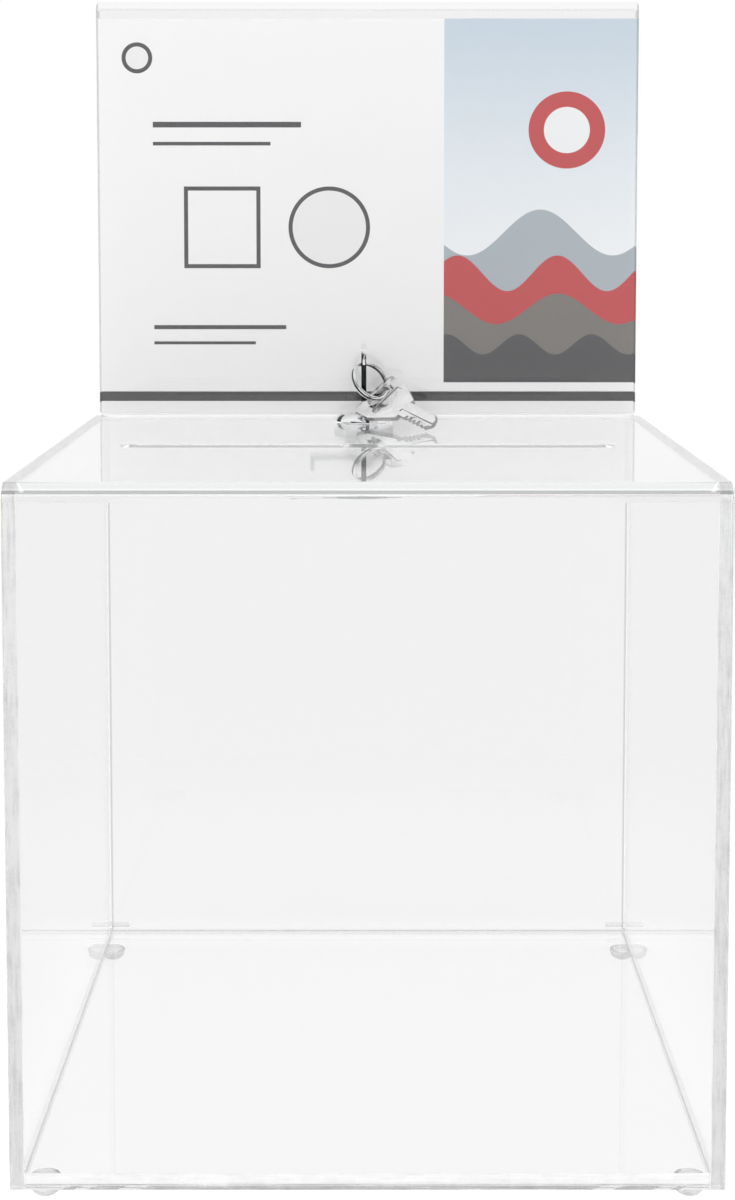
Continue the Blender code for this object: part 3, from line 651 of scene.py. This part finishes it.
def cardMaterial(low):
    # calendered card, printed on one side: matt, with a slight sheen and a fine tooth
    material, tree, shader, output = newMaterial("printedCard")
    point = addNode(tree, "TexCoord").outputs
    place = addNode(tree, "VectorMath", {0: point["Object"], 1: (1000, 0, 1000), 2: (0, 0, -1000 * low.z)},
                    operation="MULTIPLY_ADD")
    axes = addNode(tree, "SeparateXYZ", {"Vector": place}).outputs

    def bar(left, right, foot, head):
        wide = addNode(tree, "Math", {0: axes["X"], 1: (left + right) / 2, 2: (right - left) / 2},
                       operation="COMPARE")
        high = addNode(tree, "Math", {0: axes["Z"], 1: (foot + head) / 2, 2: (head - foot) / 2},
                       operation="COMPARE")
        return addNode(tree, "Math", {0: wide, 1: high}, operation="MULTIPLY")

    def spot(x, z, size):
        away = addNode(tree, "VectorMath", {0: place, 1: (x, 0, z)}, operation="DISTANCE")
        return addNode(tree, "Math", {0: away, 1: size}, operation="LESS_THAN")

    def hill(height, swell, waves, shift):
        turn = addNode(tree, "Math", {0: axes["X"], 1: waves, 2: shift}, operation="MULTIPLY_ADD")
        wave = addNode(tree, "Math", {0: turn}, operation="SINE")
        line = addNode(tree, "Math", {0: wave, 1: swell, 2: height}, operation="MULTIPLY_ADD")
        return addNode(tree, "Math", {0: axes["Z"], 1: line}, operation="LESS_THAN")

    def layered(base, layers):
        # each layer is a mask, and the colour that covers the base where the mask is 1
        for mask, colour in layers:
            base = addNode(tree, "Mix", {0: mask, 6: base, 7: colour}, data_type="RGBA")
        return base

    cloud = addNode(tree, "TexNoise", {"Vector": point["Object"], **cardLooks["cloud"]})
    paper = layered(cardLooks["paper"][0], [(cloud, cardLooks["paper"][1])])
    rise = addNode(tree, "MapRange",
                   {"Value": axes["Z"], "From Min": cardLooks["skyFrom"], "From Max": cardLooks["skyTo"]})
    sky = addNode(tree, "ValToRGB", {"Fac": rise}, cardLooks["sky"])
    view = layered(sky, [(spot(*form), colour) for *form, colour in cardLooks["discs"]])
    view = layered(view, [(hill(*form), colour) for *form, colour in cardLooks["hills"]])
    layers = [(bar(*cardLooks["view"]), view)]
    layers += [(bar(*form), cardLooks["ink"]) for form in cardLooks["bars"]]
    for x, z, size in cardLooks["rings"]:
        layers.append((spot(x, z, size), cardLooks["ink"]))
        layers.append((spot(x, z, size - cardLooks["ringWidth"]), cardLooks["ringInside"]))
    layers.append((bar(*cardLooks["footBar"]), cardLooks["footInk"]))
    # painted reflection: mirrored rays see plain paper in place of the print
    heading = addNode(tree, "SeparateXYZ", {"Vector": point["Normal"]}).outputs["Y"]
    front = addNode(tree, "Math", {0: heading, 1: -0.5}, operation="LESS_THAN")
    depth = addNode(tree, "LightPath").outputs["Glossy Depth"]
    mirrored = addNode(tree, "Math", {0: depth, 1: 0.5}, operation="GREATER_THAN")
    face = layered(paper, [(front, layered(paper, layers)), (mirrored, cardLooks["mirrored"])])

    fibre = addNode(tree, "TexNoise", {"Vector": point["Object"], **cardLooks["fibre"]})
    bump = addNode(tree, "Bump", {"Height": fibre, "Distance": cardLooks["fibreHeight"], "Strength": 0.5})
    rough = addNode(tree, "Math", {0: fibre, 1: cardLooks["fibreRough"], 2: cardLooks["rough"]},
                    operation="MULTIPLY_ADD")
    setInputs(tree, shader, {"Base Color": face, "Roughness": rough, "Normal": bump})
    return material


cardLow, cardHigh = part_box("poster_card")
bm = slab((cardLow.x, cardHigh.x), (cardLow.y, cardHigh.y), (cardLow.z, cardHigh.z))
addPiece("printedCardSheet", bm, cardMaterial(cardLow), "card", "poster_card")
print("card done")


# Bumpers

bumperSizes = {"flat": 0.0021, "rim": 0.0002, "fullness": 0.6, "steps": 24, "around": 48}
for corner in ("front_left", "front_right", "rear_left", "rear_right"):
    low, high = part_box("foot_" + corner)
    r, h = (high.x - low.x) / 2, high.z - low.z
    turns = [math.pi / 2 * i / bumperSizes["steps"] for i in range(bumperSizes["steps"])]
    dome = [(r * math.cos(a) ** bumperSizes["fullness"], h - h * math.sin(a)) for a in turns]
    dome = [p for p in dome if p[0] > bumperSizes["flat"]]
    profile = [(0, high.z), (r - bumperSizes["rim"], high.z), (r, high.z - bumperSizes["rim"]), *dome[2:],
               (bumperSizes["flat"], low.z), (0, low.z)]
    bm = lathe(profile, (low.x + high.x) / 2, (low.y + high.y) / 2, bumperSizes["around"])
    smooth(addPiece("bumper" + corner.title().replace("_", ""), bm, rubber, "case", "foot_" + corner), 40)
print("bumpers done")


# Lock

lockSizes = {
    "bore": 0.0055,
    "boreBreak": 0.0002,
    # radius, and depth under the top, of the flange's rounded face
    "flange": ((0.0057, 0.0), (0.0083, 0.0), (0.0089, 0.0001), (0.0098, 0.0006), (0.0106, 0.0013),
               (0.0110, 0.0020)),
    "rimDepth": 0.0026,
    "rimBreak": 0.0001,
    "seatGap": 0.0003,
    "neck": 0.0081,
    "crest": 0.0079,
    "root": 0.0075,
    "pitch": 0.001,
    "threadFrom": 0.0006,
    "threadEnd": 0.0008,
    "barrelEnd": 0.0074,
    "flat": 0.0071,
}
housingLow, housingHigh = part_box("lock_housing")
flangeR, flangeTop = (housingHigh.x - housingLow.x) / 2, housingHigh.z
seat, barrelEnd = lidTop + lockSizes["seatGap"], housingLow.z
bore, crest, pitch = lockSizes["bore"], lockSizes["crest"], lockSizes["pitch"]
profile = [(bore, barrelEnd), (bore, flangeTop - lockSizes["boreBreak"]),
           *[(r, flangeTop - depth) for r, depth in lockSizes["flange"]],
           (flangeR, flangeTop - lockSizes["rimDepth"]), (flangeR - lockSizes["rimBreak"], seat),
           (lockSizes["neck"], seat), (crest, seat - lockSizes["seatGap"])]
turn = seat - lockSizes["threadFrom"]
while turn > barrelEnd + lockSizes["threadEnd"]:      # rolled thread on the barrel
    profile += [(crest, turn), (lockSizes["root"], turn - pitch / 2)]
    turn -= pitch
profile += [(lockSizes["barrelEnd"], barrelEnd), (bore, barrelEnd)]
flats = [slab((lock["x"] + side * lockSizes["flat"], lock["x"] + side * (flangeR + past)),
              (lock["y"] - flangeR - past, lock["y"] + flangeR + past), (barrelEnd - past, lidUnder))
         for side in (-1, 1)]
bm = carve(lathe(profile, lock["x"], lock["y"]), flats)
housing = addPiece("lockHousing", bm, chrome, "case", "lock_housing")
smooth(housing, 32)

rimLooks = {
    "faceRadius": 0.0086,
    "rimTop": 0.0024,
    "rim": ((-62, -30), (-12, 10), (44, 60)),         # headings in degrees, from the front to the right
    "dome": ((-66, -54), (3, 12)),
    "shade": 0.95,
}


def rimMark(normal, centre):
    # painted reflection: short dark wedges to the left and right of a polished rim's bright front, for what
    # it mirrors of a dark room
    x, y = centre.x - lock["x"], centre.y - lock["y"]
    if centre.z < seat or math.hypot(x, y) < rimLooks["faceRadius"]:
        return 0.0
    heading = math.degrees(math.atan2(x, -y))
    spans = rimLooks["rim"] if centre.z < flangeTop - rimLooks["rimTop"] else rimLooks["dome"]
    return rimLooks["shade"] if any(start < heading < end for start, end in spans) else 0.0


markFaces(housing, "paintedShade", rimMark)

# material, body and width of the broken edges
lockParts = {
    "lock_nut": (zinc, "case", 0.0003),
    "lock_washer": (zinc, "case", 0.00008),
    "lock_plug": (nickel, "plug", 0.00006),
    "lock_cam": (zinc, "plug", 0.00015),
    "cam_washer": (zinc, "plug", 0.00015),
    "cam_screw": (zinc, "plug", 0.00015),
    **{"wafer_tumbler_" + str(index): (brass, "plug", 0.00004) for index in range(1, 6)},
    "hinge_pin_left": (acrylic, "case", 0.0001),
    "hinge_pin_right": (acrylic, "case", 0.0001),
}
for node, values in lockParts.items():
    dressNode(node, *values)
print("lock done")


# Keys and ring

keyLooks = {"edgeBreak": 0.00012, "uprightShade": 0.97, "brightTop": 0.0066, "spareShade": 0.55}


def addKey(node, body, shade, brightFrom):
    # the cut edges get painted shade and dark reflection, darker than the two broad faces, but for those
    # above brightFrom
    bm = copyNode(node)
    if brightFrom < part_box(node)[1].z:
        bmesh.ops.bisect_plane(bm, geom=[*bm.verts, *bm.edges, *bm.faces], plane_co=(0, 0, brightFrom),
                               plane_no=(0, 0, 1))
    bevelSharp(bm, keyLooks["edgeBreak"], 60, 1)
    key = addPiece(node.replace("_", ""), bm, nickel, body, node)
    smooth(key, 35)
    broad = max(key.data.polygons, key=lambda face: face.area).normal.copy()

    def edgeMark(normal, centre):
        return shade if abs(normal.dot(broad)) < 0.6 and centre.z < brightFrom else 0.0

    markFaces(key, "paintedShade", edgeMark)


addKey("key_in_lock", "key", keyLooks["uprightShade"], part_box("key_in_lock")[1].z - keyLooks["brightTop"])
addKey("spare_key", "spare", keyLooks["spareShade"], lidTop + 1.0)

ringSizes = {
    "diameter": 0.0150,
    "wire": 0.0012,
    "pitch": 0.0013,              # from one turn to the next
    "steps": 120,
    "climb": 12,
    "sides": 20,
    "end": -20.3,
    # where its middle is, from the lock on the lid, and how it is turned
    "right": 0.00244,
    "front": 0.00519,
    "up": 0.01591,
    "heading": -91.93,
    "dip": 51.28,
    "roll": -34.19,
    "slitShade": 0.9,
    "slitFrom": 0.35,
}

# the wire's round section is carried once round, up to the next turn, and once round again
turns, climb = ringSizes["steps"], ringSizes["climb"]
bm = bmesh.new()
bmesh.ops.create_circle(bm, cap_ends=False, segments=ringSizes["sides"], radius=ringSizes["wire"] / 2)
stand = (Matrix.Rotation(math.radians(ringSizes["end"]), 4, "Z")
         @ Matrix.Translation((ringSizes["diameter"] / 2, 0, -ringSizes["pitch"] / 2))
         @ Matrix.Rotation(math.radians(90), 4, "X"))
bmesh.ops.transform(bm, matrix=stand, verts=bm.verts)
section = [*bm.verts, *bm.edges]
for steps, rise in ((turns - climb, 0.0), (climb, ringSizes["pitch"]), (turns - climb, 0.0)):
    section = bmesh.ops.spin(bm, geom=section, cent=(0, 0, 0), axis=(0, 0, 1), dvec=(0, 0, rise / steps),
                             angle=2 * math.pi * steps / turns, steps=steps)["geom_last"]
bmesh.ops.holes_fill(bm, edges=[e for e in bm.edges if e.is_boundary], sides=ringSizes["sides"])
bmesh.ops.recalc_face_normals(bm, faces=bm.faces)
middle = (lock["x"] + ringSizes["right"], lock["y"] - ringSizes["front"], lidTop + ringSizes["up"])
place = (Matrix.Translation(middle)
         @ Matrix.Rotation(math.radians(ringSizes["heading"] - 90), 4, "Z")
         @ Matrix.Rotation(math.radians(-ringSizes["dip"]), 4, "X")
         @ Matrix.Rotation(math.radians(ringSizes["roll"]), 4, "Y"))
bmesh.ops.transform(bm, matrix=place, verts=bm.verts)
ring = addPiece("splitRing", bm, springSteel, "ring", "key_ring")
ringSelf = place.inverted()


def slitMark(normal, centre):
    # painted shade: the two turns face each other across a slit, drawn dark
    side = -1 if (ringSelf @ centre).z < 0 else 1
    across = side * (ringSelf.to_3x3() @ normal).z
    return ringSizes["slitShade"] if across < -ringSizes["slitFrom"] else 0.0


markFaces(ring, "paintedShade", slitMark)
smooth(ring, 50)
print("keys and ring done")


# Clear pieces let the light through to what stands behind them

for piece in scene.objects:
    if piece.type == "MESH" and piece.data.materials and piece.data.materials[0] in (acrylic, doorAcrylic):
        piece.visible_shadow = False


# Floor, light and camera

stageLooks = {
    "floor": "#F4F4F4",
    "floorSize": 3.0,
    "shadowShare": 0.88,          # how far the floor's own white covers its shadow under the box
    "shadowFrom": 0.16,           # metres from the middle over which the rest of the shadow fades
    "shadowTo": 0.42,
    "underGlow": 1.13,            # how white the floor is seen under the box; beside it, it is plain white
    "glowFrom": 0.112,            # metres from the middle, to the side or to the rear
    "glowTo": 0.150,
    "worldLight": 1.0,
    "mirroredWhite": 0.94,        # the room as metal and sheet mirror it
    "dark": "#0B0B0C",
    "boardMiddle": (0, 0.08, 0.22),
    "boardDistance": 1.15,
    # boards between two headings and two lifts, in degrees
    "boards": {
        "sideBoardLeft": ((-122, -157), (-8, 34)),
        "sideBoardRight": ((122, 157), (-8, 34)),
        "backBoardLeft": ((-24, -50), (6, 36)),
        "backBoardRight": ((24, 50), (6, 36)),
        "highLeftBoard": ((184, 204), (15, 34)),
        "highRightBoard": ((156, 176), (15, 34)),
    },
    # place, what it is aimed at, size and power of each lamp
    "lamps": {
        "overheadSoftbox": ((0.1, -0.1, 1.3), (0, 0, 0.2), (0.9, 0.9), 3.0),
        "frontSoftbox": ((-0.12, -1.58, 0.9), (0, 0, 0.25), (1.2, 1.0), 19.0),
        "rearSoftbox": ((0.15, 1.60, 0.9), (0, 0, 0.25), (1.2, 1.0), 12.0),
    },
    "lens": 60.38,
    "cameraShift": -0.194,
    "cameraPlace": (0.0, -0.6925, 0.2943),
    "cameraDip": 4.147,
}


def addFloor():
    # matt painted counter: plain white, with the box's soft shadow
    material, tree, shader, output = newMaterial("paleFloor")
    setInputs(tree, shader, {"Base Color": stageLooks["floor"], "Roughness": 0.9, "Specular IOR Level": 0.0})
    path = addNode(tree, "LightPath").outputs
    seen = addNode(tree, "Math", {0: path["Is Camera Ray"], 1: path["Is Glossy Ray"]}, operation="ADD")
    seen = addNode(tree, "Math", {0: seen, 1: path["Is Transmission Ray"]}, operation="ADD", use_clamp=True)
    point = addNode(tree, "TexCoord").outputs["Object"]
    away = addNode(tree, "VectorMath", {0: point}, operation="LENGTH")
    share = addNode(tree, "MapRange",
                    {"Value": away, "From Min": stageLooks["shadowFrom"], "From Max": stageLooks["shadowTo"],
                     "To Min": stageLooks["shadowShare"], "To Max": 1.0}, interpolation_type="SMOOTHSTEP")
    beside = addNode(tree, "VectorMath", {0: point}, operation="ABSOLUTE")
    beside = addNode(tree, "SeparateXYZ", {"Vector": beside}).outputs
    beside = addNode(tree, "Math", {0: beside["X"], 1: beside["Y"]}, operation="MAXIMUM")
    white = addNode(tree, "MapRange",
                    {"Value": beside, "From Min": stageLooks["glowFrom"], "From Max": stageLooks["glowTo"],
                     "To Min": stageLooks["underGlow"], "To Max": 1.0}, interpolation_type="SMOOTHSTEP")
    glow = addNode(tree, "Emission", {"Color": "#FFFFFF", "Strength": white})
    cover = addNode(tree, "Math", {0: seen, 1: share}, operation="MULTIPLY")
    mixed = addNode(tree, "MixShader", {0: cover, 1: shader, 2: glow})
    setInputs(tree, output, {"Surface": mixed})
    bm = bmesh.new()
    bmesh.ops.create_grid(bm, x_segments=1, y_segments=1, size=stageLooks["floorSize"])
    floor = addMesh("floorPlane", bm, material)


def addWorld():
    world = bpy.data.worlds.new("softStudio")
    scene.world = world
    world.use_nodes = True
    tree = world.node_tree
    path = addNode(tree, "LightPath").outputs
    seen = addNode(tree, "Math", {0: path["Is Camera Ray"], 1: path["Is Transmission Ray"]}, operation="ADD",
                   use_clamp=True)
    unseen = addNode(tree, "Math", {0: 1.0, 1: seen}, operation="SUBTRACT")
    # a ray that has passed through a clear sheet counts as mirrored too, so it is taken out again
    glossy = addNode(tree, "Math", {0: path["Is Glossy Ray"], 1: unseen}, operation="MULTIPLY")
    rest = addNode(tree, "Math", {0: unseen, 1: glossy}, operation="SUBTRACT", use_clamp=True)
    strength = seen
    for rays, white in ((glossy, stageLooks["mirroredWhite"]), (rest, stageLooks["worldLight"])):
        strength = addNode(tree, "Math", {0: rays, 1: white, 2: strength}, operation="MULTIPLY_ADD")
    setInputs(tree, tree.nodes["Background"], {"Color": "#FFFFFF", "Strength": strength})


def addLamp(name, place, aim, size, power):
    data = bpy.data.lights.new(name, "AREA")
    data.shape = "RECTANGLE"
    data.size, data.size_y = size
    data.energy = power
    lamp = bpy.data.objects.new(name, data)
    scene.collection.objects.link(lamp)
    lamp.location = place
    lamp.rotation_euler = (Vector(aim) - Vector(place)).to_track_quat("-Z", "Y").to_euler()
    lamp.visible_glossy = False      # mirrors show the white room alone
    lamp.visible_transmission = False


def addDarkBoard(name, headings, lifts):
    # a black board in the room that only metal and polish mirror
    material, tree, shader, output = newMaterial(name)
    setInputs(tree, shader, {"Base Color": stageLooks["dark"], "Roughness": 0.9})
    centre, far = Vector(stageLooks["boardMiddle"]), stageLooks["boardDistance"]
    low, high = [math.tan(math.radians(lift)) for lift in lifts]
    bm = bmesh.new()
    corners = [centre + far * Vector((math.sin(a), math.cos(a), low)) for a in map(math.radians, headings)]
    edge = bm.edges.new([bm.verts.new(corner) for corner in corners])
    raised = movedVerts(bmesh.ops.extrude_edge_only(bm, edges=[edge]))
    bmesh.ops.translate(bm, vec=(0, 0, far * (high - low)), verts=raised)
    board = addMesh(name, bm, material)
    board.visible_camera = board.visible_diffuse = board.visible_transmission = board.visible_shadow = False


def addCamera():
    data = bpy.data.cameras.new("camera")
    data.lens = stageLooks["lens"]
    data.sensor_width = 36.0
    data.shift_y = stageLooks["cameraShift"]
    camera = bpy.data.objects.new("camera", data)
    scene.collection.objects.link(camera)
    camera.location = stageLooks["cameraPlace"]
    camera.rotation_euler = (math.radians(90 - stageLooks["cameraDip"]), 0, 0)
    scene.camera = camera


addFloor()
addWorld()
for name, values in stageLooks["lamps"].items():
    addLamp(name, *values)
for name, values in stageLooks["boards"].items():
    addDarkBoard(name, *values)
addCamera()
scene.view_settings.view_transform = "Standard"
print("stage done")
